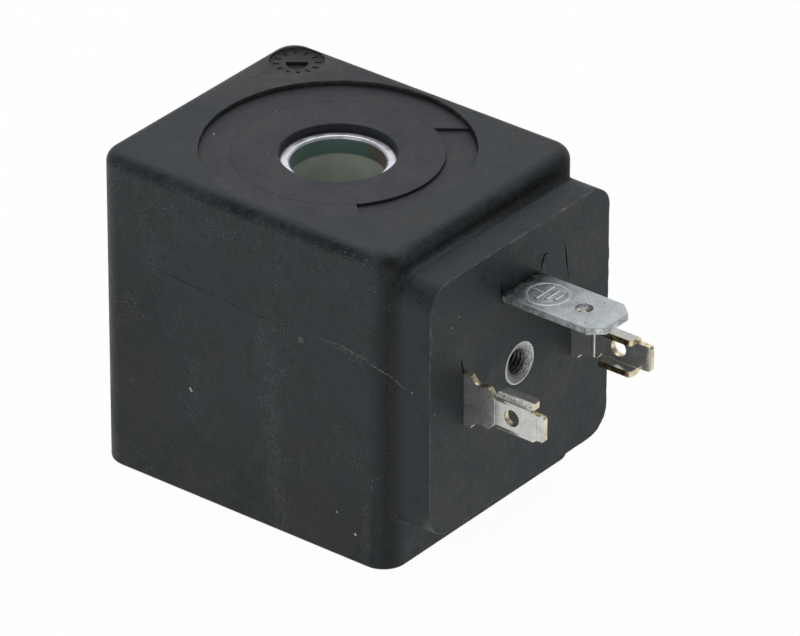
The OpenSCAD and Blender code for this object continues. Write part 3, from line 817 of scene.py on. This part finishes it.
def insert_mesh():
    """Insert with a countersunk, threaded bore on the connector's axis, in metres."""
    smooth = [
        (INSERT_BODY_R, -INSERT_LEN),
        (INSERT_BODY_R, -INSERT_SHOULDER),
        (INSERT_RIM_R, -INSERT_SHOULDER),
        (INSERT_RIM_R, -0.05),
        (INSERT_RIM_R - 0.04, -0.01),
        (SINK_R + 0.05, 0.0),
        (SINK_R, -0.03),
        (THREAD_R + THREAD_DEPTH * 0.6, -SINK_DEPTH * 0.95),
    ]
    rings = [circle_ring(r, z, THREAD_STEPS) for r, z in smooth]
    length = THREAD_END - SINK_DEPTH
    count = round(length / THREAD_PITCH * THREAD_RINGS_PER_TURN)
    for k in range(count + 1):
        depth = SINK_DEPTH + length * k / count
        ring = []
        for i in range(THREAD_STEPS):
            turn = i / THREAD_STEPS
            phase = (depth / THREAD_PITCH + turn) % 1.0
            radius = THREAD_R + THREAD_DEPTH * min(1.0, 1.25 * abs(2 * phase - 1))
            ring.append((*polar(radius, math.tau * turn), -depth))
        rings.append(ring)
    bm = loft(rings)
    for face in bm.faces:
        centre = face.calc_center_median()
        in_thread = centre.z < -SINK_DEPTH and centre.xy.length < THREAD_R + THREAD_DEPTH
        face.material_index = 1 if in_thread else 0
    out_of_pad(bm)
    bmesh.ops.scale(bm, vec=(MM, MM, MM), verts=bm.verts)
    return bm


def half_round(bm, path, width, height, normal, closed=False):
    """Low rounded ridge, in metres, along a path in millimetres on a surface with that normal."""
    up = Vector(normal)
    arc = [math.radians(a) for a in range(0, 181, 36)]
    rings = []
    count = len(path)
    crest = height + SIGN_SINK
    for i, point in enumerate(path):
        before = path[i - 1] if i or closed else path[i]
        after = path[(i + 1) % count] if i + 1 < count or closed else path[i]
        along = (Vector(after) - Vector(before)).normalized()
        side = along.cross(up)
        base = Vector(point) - up * SIGN_SINK
        ring = [base + side * (width / 2 * math.cos(a)) + up * (crest * math.sin(a)) for a in arc]
        rings.append([p * MM for p in ring])
    loft(rings, closed, bm)


def make_press_lines(name, side):
    """Fine pressed lines across the neck and the tip of one terminal."""
    bm = bmesh.new()
    for face, reach, half_h, width, height in PRESS_LINES:
        out = side * face
        at = side * TERMINAL_X + out * TERMINAL_T / 2
        levels = [half_h * (k / 4 - 1) for k in range(9)]
        path = [(at, -PAD_FACE - reach, AXIS_Z + level) for level in levels]
        half_round(bm, path, width, height, (out, 0, 0))
    return place(finish_mesh(as_object(f"press_line_{name}", bm)), "terminal_brass")


def make_earth_sign():
    """Raised earth sign on the earth blade: a ring, a stem and three bars."""
    bm = bmesh.new()
    centre = Vector((0, -PAD_FACE - SIGN_REACH, EARTH_Z + EARTH_T / 2))
    up = (0, 0, 1)
    ring = [centre + Vector(p) for p in circle_ring(SIGN_R, 0, SIGN_STEPS)]
    half_round(bm, ring, SIGN_LINE_W, SIGN_HEIGHT, up, closed=True)
    strokes = [[(0, reach) for reach in SIGN_STEM]]
    for half, reach in SIGN_BARS:
        strokes.append([(-half, reach), (half, reach)])
    for start, end in strokes:
        path = [centre + Vector((*start, 0)).lerp(Vector((*end, 0)), k / 4) for k in range(5)]
        half_round(bm, path, SIGN_STROKE_W, SIGN_STROKE_HEIGHT, up)
    return place(finish_mesh(as_object("earth_sign", bm)), "earth_steel")


class Nodes:
    """Short ways to build up a node tree."""

    def __init__(self, tree):
        self.tree = tree

    def node(self, kind, operation=None, **inputs):
        """New node of one kind, with what goes into its inputs."""
        node = self.tree.nodes.new(f"ShaderNode{kind}")
        if operation:
            node.operation = operation
        for name, value in inputs.items():
            self.connect(value, node.inputs[name])
        return node

    def connect(self, value, socket):
        """Links an output to a socket, or sets the socket to a plain value."""
        if isinstance(value, bpy.types.NodeSocket):
            self.tree.links.new(value, socket)
        else:
            socket.default_value = value

    def math(self, operation, first, second=0.0, clamp=False):
        """Arithmetic on two values."""
        node = self.node("Math", operation)
        node.use_clamp = clamp
        self.connect(first, node.inputs[0])
        self.connect(second, node.inputs[1])
        return node.outputs["Value"]

    def times(self, first, second):
        return self.math("MULTIPLY", first, second)

    def plus(self, first, second):
        return self.math("ADD", first, second)

    def most(self, first, second):
        return self.math("MAXIMUM", first, second)

    def span(self, value, low, high, to_low=0.0, to_high=1.0, smooth=True):
        """Maps a range of a value to another range, held at its ends."""
        names = ("Value", "From Min", "From Max", "To Min", "To Max")
        node = self.node("MapRange", **dict(zip(names, (value, low, high, to_low, to_high))))
        node.interpolation_type = "SMOOTHSTEP" if smooth else "LINEAR"
        return node.outputs["Result"]

    def band(self, value, centre, outer, inner):
        """Mask of a value near a centre, full within the inner distance and none past the outer one."""
        return self.span(self.math("ABSOLUTE", self.math("SUBTRACT", value, centre)), outer, inner)

    def mix(self, factor, first, second):
        """Mix of two values."""
        return self.node("Mix", Factor=factor, A=first, B=second).outputs["Result"]

    def blend(self, factor, first, second):
        """Mix of two colours, by the sockets of a mix node that are for colours."""
        node = self.node("Mix", Factor=factor)
        node.data_type = "RGBA"
        sockets = [s for s in node.inputs if s.type == "RGBA"]
        for value, socket in zip((first, second), sockets):
            self.connect(value if isinstance(value, bpy.types.NodeSocket) else (*value, 1.0), socket)
        return next(s for s in node.outputs if s.type == "RGBA")

    def mix_shaders(self, factor, first, second):
        """Mix of two shaders."""
        node = self.node("MixShader")
        for value, socket in zip((factor, first, second), node.inputs):
            self.connect(value, socket)
        return node.outputs["Shader"]


class Finish(Nodes):
    """A procedural material, with its textures laid out in millimetres of the part's own frame."""

    def __init__(self, name, roughness=0.5, metallic=0.0, specular=0.5):
        self.material = bpy.data.materials.new(name)
        self.material.use_nodes = True
        super().__init__(self.material.node_tree)
        self.sockets = self.tree.nodes["Principled BSDF"].inputs
        self.sockets["Roughness"].default_value = roughness
        self.sockets["Metallic"].default_value = metallic
        self.sockets["Specular IOR Level"].default_value = specular
        self.coords = self.node("TexCoord").outputs["Object"]

    def mapped(self, stretch=(1.0, 1.0, 1.0)):
        """Texture place in millimetres, stretched along an axis where its factor is small."""
        scale = [s / MM for s in stretch]
        return self.node("Mapping", Vector=self.coords, Scale=scale).outputs["Vector"]

    def axis(self, name):
        """One coordinate of the part's own frame, in millimetres."""
        return self.node("SeparateXYZ", Vector=self.mapped()).outputs[name]

    def distance_to(self, point):
        """Distance in millimetres to a point of the part's own frame."""
        node = self.node("VectorMath", "DISTANCE", Vector=self.mapped())
        node.inputs[1].default_value = point
        return node.outputs["Value"]

    def noise(self, scale, detail=3.0, roughness=0.55, stretch=(1.0, 1.0, 1.0)):
        """Cloudy texture with about so many features in a millimetre."""
        spot = self.mapped(stretch)
        node = self.node("TexNoise", Vector=spot, Scale=scale, Detail=detail, Roughness=roughness)
        return node.outputs["Fac"]

    def specks(self, scale, size, share):
        """Mask of scattered small spots, of which only a share of the points shows."""
        cells = self.node("TexVoronoi", Vector=self.mapped(), Scale=scale)
        split = self.node("SeparateColor", Color=cells.outputs["Color"]).outputs
        shown = self.span(split["Red"], 1 - share, 1 - share + 0.01)
        radius = self.times(split["Green"], size * scale)
        edge = self.math("SUBTRACT", radius, cells.outputs["Distance"])
        return self.times(self.span(edge, 0.0, 0.25 * size * scale), shown)

    def surface(self, colour, roughness, height, relief):
        """Material with that colour and roughness, and a relief in millimetres from a height."""
        self.connect(colour, self.sockets["Base Color"])
        self.connect(roughness, self.sockets["Roughness"])
        bump = self.node("Bump", Height=height, Distance=relief * MM, Strength=1.0)
        self.connect(bump.outputs["Normal"], self.sockets["Normal"])
        return self.material


def left_face_marks(f):
    """Masks of the scuffs and of the dust that show on the housing's left side."""
    on_left = f.span(f.axis("X"), *LEFT_SKIN)
    along, up = f.axis("Y"), f.axis("Z")
    patchy = f.span(f.noise(3.6, 4.0, 0.7), 0.44, 0.66)
    wobble = f.times(f.math("SUBTRACT", f.noise(0.25, 3.0), 0.5), 4.0)
    lean = f.times(f.math("SUBTRACT", up, AXIS_Z), -SCUFF_LEAN)
    worn = f.plus(f.plus(along, wobble), lean)
    scuff = f.times(f.band(worn, SCUFF_Y, SCUFF_W, 0.0), f.span(up, *SCUFF_FADE))
    streak = f.times(f.band(along, STREAK_Y, STREAK_W, 0.1), f.span(up, *STREAK_FADE))
    line = f.times(f.band(up, LIP_LINE_Z, LIP_LINE_W, 0.05), f.span(along, *LIP_LINE_FADE))
    marks = f.most(f.most(scuff, streak), line)
    rubbed_and_highlit = f.times(f.times(marks, patchy), on_left)
    settled = f.most(f.span(f.noise(0.13, 3.0), 0.46, 0.64), f.span(up, *DUST_RISE))
    clumps = f.times(settled, f.span(f.noise(0.6, 4.0, 0.65), 0.4, 0.6))
    return rubbed_and_highlit, f.times(clumps, f.span(on_left, 0.0, 1.0, 0.2, 1.0))


def knit_burrs(f):
    """Mask of the pale burrs that dot the knit line towards the front upright edge."""
    across = f.math("SUBTRACT", f.axis("X"), f.axis("Y"))
    line = KNIT_BURRS[0][1]
    for (start, start_z), (end, end_z) in zip(KNIT_BURRS, KNIT_BURRS[1:]):
        line = f.plus(line, f.span(across, start, end, 0.0, end_z - start_z, smooth=False))
    near = f.times(f.band(f.axis("Z"), line, BURR_W, 0.04), f.span(f.axis("X"), *BURR_SKIN))
    reach = f.times(f.span(across, *BURR_START), f.span(across, *BURR_END))
    dotted = f.span(f.noise(8.0, 2.0), 0.5, 0.6)
    return f.times(dotted, f.times(near, reach))


def crease_shade_and_darker_low(f):
    """Mask of painted shade in the crease over the pad's root, and that of painted shade in the creases
    beside it together with the left side's darkening towards its bottom and back.
    """
    across, along, up = f.axis("X"), f.axis("Y"), f.axis("Z")
    from_middle = f.math("ABSOLUTE", across)
    side_crease = f.band(f.plus(from_middle, along), CREASE_AT, CREASE_W, 0.3)
    side_crease = f.times(side_crease, f.span(from_middle, *CREASE_SKIN))
    top_crease = f.times(f.band(along, TOP_CREASE_Y, *TOP_CREASE_W), f.span(up, *TOP_CREASE_SKIN))
    top_crease = f.times(top_crease, f.span(across, *TOP_CREASE_FADE))
    # the left side darker towards its bottom and towards its back end
    far_end = f.times(f.span(along, *DARKER_BACK_Y), f.span(up, *DARKER_BACK_Z))
    low = f.most(f.span(up, *DARKER_LOW_Z), far_end)
    darker_low = f.times(low, f.span(across, *LEFT_SKIN, 0.0, DARKER_LOW_SHARE))
    return top_crease, f.most(side_crease, darker_low)


def plastic_finish():
    """Matt charcoal moulded plastic with mottling, scuffs, rubbed edges and dust, with painted shade in
    the creases and on the recess's wall, and painted light on the recess's rim and the bottom edge.
    """
    f = Finish("charcoal_plastic", specular=PLASTIC_SPECULAR)
    cloud = f.noise(0.16, 5.0, 0.62)
    blotch = f.noise(0.9, 4.0, 0.6)
    speckle = f.noise(4.5, 2.0)
    tone = f.plus(f.times(cloud, 0.5), f.times(blotch, 0.3))
    tone = f.plus(tone, f.times(speckle, 0.2))
    streak = f.noise(0.3, 4.0, 0.6, (1.0, 1.0, 0.1))
    scuffed = f.times(f.span(streak, 0.54, 0.7), f.span(cloud, 0.42, 0.6))
    out = f.distance_to((0.0, 0.0, RECESS_FLOOR))
    in_recess = f.span(out, RECESS_R + 0.1, RECESS_R)
    pale_corner = f.span(f.distance_to(LIGHTER_CORNER_AT), LIGHTER_CORNER_R, 0.2 * LIGHTER_CORNER_R)
    top_crease, shaded = crease_shade_and_darker_low(f)
    rubbed_and_highlit, dusty = left_face_marks(f)
    masks = {
        "recess": in_recess,
        "panel_ring": f.band(out, PANEL_IN, 0.1, 0.03),
        # painted shade on the recess's wall
        "recess_wall_shade": f.band(out, RECESS_R, 0.1, 0.07),
        "lighter_back_corner": f.math("SUBTRACT", pale_corner, in_recess, clamp=True),
        "dial": f.span(f.distance_to((*DIAL_AT, BLOCK_H)), DIAL_R, DIAL_R - 0.3),
        "scuffed": scuffed,
        # painted shade in the root creases, and the left side darker low and at the back
        "dark": f.most(top_crease, shaded),
        "rubbed_and_highlit": rubbed_and_highlit,
        "haze": f.times(f.span(f.noise(7.0, 2.0), 0.54, 0.72), dusty),
        "dust": f.times(f.span(f.noise(6.5, 1.0), 0.645, 0.73), dusty),
        "grains": f.span(f.noise(5.5, 1.0), 0.52, 0.75),
        "specks": f.specks(0.9, 0.08, 0.3),
        "burrs": knit_burrs(f),
    }
    body = f.blend(f.span(tone, *MID_TONES), PLASTIC_DARK, PLASTIC_LIGHT)
    for layer, (share, colour) in PLASTIC_LAYERS.items():
        body = f.blend(f.times(masks[layer], share), body, colour)
    for point, radius, grey in FLECKS:
        body = f.blend(f.span(f.distance_to(point), radius, 0.6 * radius), body, (grey, grey, grey))
    # rubbed plastic, and painted light on the recess's rim and the bottom edge, stored on the mesh
    wear_and_highlight = f.node("Attribute")
    wear_and_highlight.attribute_name = "wear_and_highlight"
    body = f.blend(wear_and_highlight.outputs["Fac"], body, PLASTIC_WORN_AND_LIT)
    rough = f.span(tone, *MID_TONES, *PLASTIC_ROUGH)
    rough = f.plus(rough, f.times(top_crease, CREASE_ROUGH))
    rough = f.plus(rough, f.times(scuffed, SCUFF_ROUGH))
    grain = f.plus(f.times(f.noise(7.0, 3.0), 0.8), f.times(f.noise(1.1, 3.0), 1.4))
    return f.surface(body, rough, grain, PLASTIC_RELIEF)


def metal_finish(
    name, dark, light, rough, grains, relief, grain_share=0.5, pits=0.0, root_stain=0.0, metallic=1.0
):
    """Plated metal with cloudy tone, fine grain, pits and a stain next to the moulding."""
    f = Finish(name, metallic=metallic)
    cloud = f.noise(0.8, 4.0)
    grain = f.noise(grains, 3.0, 0.6)
    mixed = f.plus(f.times(cloud, 1 - grain_share), f.times(grain, grain_share))
    tone = f.blend(f.span(mixed, *MID_TONES), dark, light)
    height = grain
    if pits:
        scratched = f.span(f.noise(1.3, 5.0, 0.8, (1.0, 0.6, 1.0)), 0.655, 0.69)
        pit = f.most(f.specks(2.2, 0.13, pits), scratched)
        tone = f.blend(f.times(pit, 0.7), tone, [0.25 * c for c in dark])
        height = f.math("SUBTRACT", grain, f.times(pit, 1.5))
    if root_stain:
        near = f.span(f.axis("Y"), -PAD_FACE - STAIN_REACH, -PAD_FACE)
        stain = f.times(near, f.span(f.noise(1.6, 4.0, 0.65), 0.42, 0.56))
        tone = f.blend(f.times(stain, root_stain), tone, [0.22 * c for c in dark])
    return f.surface(tone, f.span(mixed, *MID_TONES, *rough), height, relief)


def insert_finish():
    """Coarse blasted steel, darker towards the thread as painted shade, and with a painted highlight
    round its rim.
    """
    f = Finish("grained_steel", metallic=1.0)
    out = f.distance_to((0.0, -PAD_FACE, AXIS_Z))
    grain = f.noise(7.0, 3.0, 0.6)
    tone = f.blend(f.span(grain, *MID_TONES), (0.1, 0.105, 0.1), (0.66, 0.67, 0.66))
    # painted shade, darker towards the thread
    tone = f.blend(f.span(out, 2.0, 1.45, 0.0, 0.6), tone, (0.06, 0.06, 0.06))
    # painted highlight round the countersink's rim
    rubbed_and_highlit = f.span(out, SINK_R - 0.06, SINK_R + 0.02, 0.0, 0.75)
    tone = f.blend(rubbed_and_highlit, tone, (0.66, 0.69, 0.69))
    return f.surface(tone, f.span(grain, *MID_TONES, 0.4, 0.6), grain, 0.07)


def plate_finish():
    """Bright passivated plate, darker where it runs under the housing's lip: painted shade and a
    painted reflection of the dark lip, reaching further in on the far side.
    """
    f = Finish("bright_zinc", metallic=0.9)
    out = f.distance_to(PLATE_SHADE_AT)
    cloud = f.noise(0.9, 4.0)
    tone = f.blend(f.span(cloud, 0.35, 0.65), (0.66, 0.69, 0.72), (0.8, 0.8, 0.86))
    # painted shade and reflection of the dark lip, reaching further in on the far side
    under = f.span(f.plus(out, f.times(cloud, 0.2)), LIP_R - 0.22, LIP_R - 0.04)
    tone = f.blend(f.times(under, 0.9), tone, (0.1, 0.105, 0.11))
    return f.surface(tone, f.span(cloud, 0.35, 0.65, 0.3, 0.4), f.noise(3.0, 3.0), 0.003)


def bore_wall_finish():
    """Passivated bore wall, teal with a reddish flush on one side."""
    f = Finish("passivated_zinc", metallic=1.0)
    to_right = f.times(f.axis("X"), 0.62)
    across = f.math("SUBTRACT", to_right, f.times(f.axis("Y"), 0.79))
    cloud = f.noise(0.3, 3.0)
    flush = f.span(f.plus(across, f.times(cloud, 2.0)), 3.6, 5.4)
    tone = f.blend(flush, (0.37, 0.53, 0.55), (0.5, 0.37, 0.36))
    return f.surface(tone, f.span(cloud, 0.3, 0.7, 0.32, 0.42), f.noise(2.0, 3.0), 0.004)


def soft_finish(name, dark, light, rough, scale):
    """Plain moulded or wound surface with a little variation in tone and relief."""
    f = Finish(name, roughness=rough, specular=0.4)
    cloud = f.noise(scale, 4.0)
    tone = f.blend(f.span(cloud, 0.3, 0.7), dark, light)
    rough = f.span(cloud, 0.3, 0.7, rough - 0.06, rough + 0.06)
    return f.surface(tone, rough, f.noise(5.0, 3.0), 0.01)


def wire_finish():
    """Enamelled copper wire, laid in close turns along the bore."""
    f = Finish("enamelled_copper", metallic=1.0)
    wave = f.node("TexWave", Vector=f.mapped(), Scale=0.6, Distortion=0.3)
    wave.bands_direction = "Z"
    turns = wave.outputs["Fac"]
    tone = f.blend(turns, (0.30, 0.09, 0.03), (0.75, 0.34, 0.15))
    return f.surface(tone, f.span(turns, 0.0, 1.0, 0.45, 0.25), turns, 0.15)


def dress(obj, *materials):
    """Gives a new piece its materials, in the order of its faces' material numbers."""
    for material in materials:
        obj.data.materials.append(material)


def make_camera():
    """Camera at the photograph's viewing angle."""
    azimuth, elevation = math.radians(CAMERA_AZIMUTH), math.radians(CAMERA_ELEVATION)
    back = Vector((
        math.sin(azimuth) * math.cos(elevation),
        -math.cos(azimuth) * math.cos(elevation),
        math.sin(elevation),
    ))
    right = Vector((math.cos(azimuth), math.sin(azimuth), 0.0))
    up = back.cross(right)
    slide_right, slide_up = CAMERA_SLIDE
    spot = Vector(CAMERA_TARGET) + back * CAMERA_DISTANCE + right * slide_right + up * slide_up
    turn = Matrix((right, up, back)).transposed() @ Matrix.Rotation(math.radians(CAMERA_ROLL), 3, "Z")
    data = bpy.data.cameras.new("photo_camera")
    data.sensor_width = SENSOR_W
    data.lens = CAMERA_LENS
    data.clip_end = CAMERA_CLIP
    camera = bpy.data.objects.new("photo_camera", data)
    camera.matrix_world = Matrix.Translation(spot * MM) @ turn.to_4x4()
    bpy.context.scene.collection.objects.link(camera)
    bpy.context.scene.camera = camera


def make_floor():
    """White floor that keeps a soft shadow, glows only where it is seen and is clear from below."""
    bm = bmesh.new()
    low = Matrix.Translation((0, 0, -FLOOR_GAP * MM))
    bmesh.ops.create_grid(bm, x_segments=1, y_segments=1, size=FLOOR_SIZE, matrix=low)
    floor = as_object("floor", bm)
    material = bpy.data.materials.new("white_floor")
    material.use_nodes = True
    t = Nodes(material.node_tree)
    shader = t.tree.nodes["Principled BSDF"]
    shader.inputs["Base Color"].default_value = FLOOR_WHITE
    shader.inputs["Roughness"].default_value = 0.9
    shader.inputs["Specular IOR Level"].default_value = 0.0
    path = t.node("LightPath").outputs
    seen = t.math("ADD", path["Is Camera Ray"], path["Is Glossy Ray"], clamp=True)
    seen = t.math("ADD", seen, path["Is Transmission Ray"], clamp=True)
    glow = t.node("Emission", Color=(1.0, 1.0, 1.0, 1.0)).outputs["Emission"]
    lit = t.mix_shaders(t.times(seen, FLOOR_GLOW), shader.outputs["BSDF"], glow)
    from_below = t.node("NewGeometry").outputs["Backfacing"]
    one_sided = t.mix_shaders(from_below, lit, t.node("BsdfTransparent").outputs["BSDF"])
    t.connect(one_sided, t.tree.nodes["Material Output"].inputs["Surface"])
    floor.data.materials.append(material)


def make_world():
    """White surroundings, brightest behind the part in reflections and dimmer as light on it."""
    world = bpy.data.worlds.new("studio")
    world.use_nodes = True
    t = Nodes(world.node_tree)
    background = t.tree.nodes["Background"]
    path = t.node("LightPath").outputs
    toward = t.node("VectorMath", "DOT_PRODUCT", Vector=t.node("TexCoord").outputs["Generated"])
    toward.inputs[1].default_value = WORLD_BRIGHT_SIDE
    strength = t.mix(path["Is Glossy Ray"], WORLD_LIGHT, t.span(toward.outputs["Value"], *WORLD_FALL))
    for ray in ("Is Transmission Ray", "Is Camera Ray"):
        strength = t.mix(path[ray], strength, 1.0)
    t.connect(strength, background.inputs["Strength"])
    tint = t.blend(path["Is Glossy Ray"], (1.0, 1.0, 1.0), WORLD_TINT)
    t.connect(tint, background.inputs["Color"])
    bpy.context.scene.world = world


def make_light(name, spot, size, power):
    """Soft square lamp that faces the middle of the part."""
    data = bpy.data.lights.new(name, "AREA")
    data.shape = "SQUARE"
    data.size = size
    data.energy = power
    lamp = bpy.data.objects.new(name, data)
    lamp.location = spot
    aim = Vector(CAMERA_TARGET) * MM - lamp.location
    lamp.rotation_euler = aim.to_track_quat("-Z", "Y").to_euler()
    bpy.context.scene.collection.objects.link(lamp)


make_camera()

metals = {
    name: metal_finish(name, *numbers, **METAL_EXTRAS.get(name, {})) for name, numbers in METALS.items()
}
insulation = {name: soft_finish(name, *numbers) for name, numbers in INSULATION.items()}
copper = wire_finish()

node_finish = {
    "bobbin": insulation["khaki_nylon"],
    "winding": copper,
    "winding_tape": insulation["polyester_tape"],
    "yoke": metals["satin_zinc"],
    "earth_rivet": metals["zinc_plate"],
}
for end in ("start", "finish"):
    node_finish[f"{end}_lead"] = copper
    node_finish[f"{end}_sleeve"] = insulation["glass_sleeve"]
    node_finish[f"{end}_solder"] = metals["solder"]
for node, material in node_finish.items():
    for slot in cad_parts[node].material_slots:
        slot.material = material

dress(make_housing(), plastic_finish())
terminal_metals = [metals[name] for name in ("tin_plate", "bare_brass", "creased_tin", "shaded_brass")]
for name, side in (("left", -1), ("right", 1)):
    node = f"line_terminal_{name}"
    stamping = softened(node, f"{node}_stamping", TERMINAL_SOFT, sort_terminal)
    dress(place(stamping, "terminal_brass", node), *terminal_metals)
    dress(make_press_lines(name, side), metals["tin_plate"])
blade = softened("earth_terminal", "earth_blade", BLADE_SOFT, sort_blade)
dress(place(blade, "earth_steel", "earth_terminal"), metals["zinc_plate"], metals["sheared_zinc"])
plate = softened("yoke_plate", "top_plate", PLATE_SOFT, sort_plate)
dress(place(plate, "yoke_steel", "yoke_plate"), plate_finish(), bore_wall_finish())
insert = finish_mesh(as_object("insert_body", insert_mesh()))
dress(place(insert, "insert_steel", "threaded_insert"), insert_finish(), metals["thread_shade"])
dress(make_earth_sign(), metals["zinc_relief"])

make_floor()
make_world()
for light in LIGHTS:
    make_light(*light)

bpy.context.scene.view_settings.view_transform = "Standard"
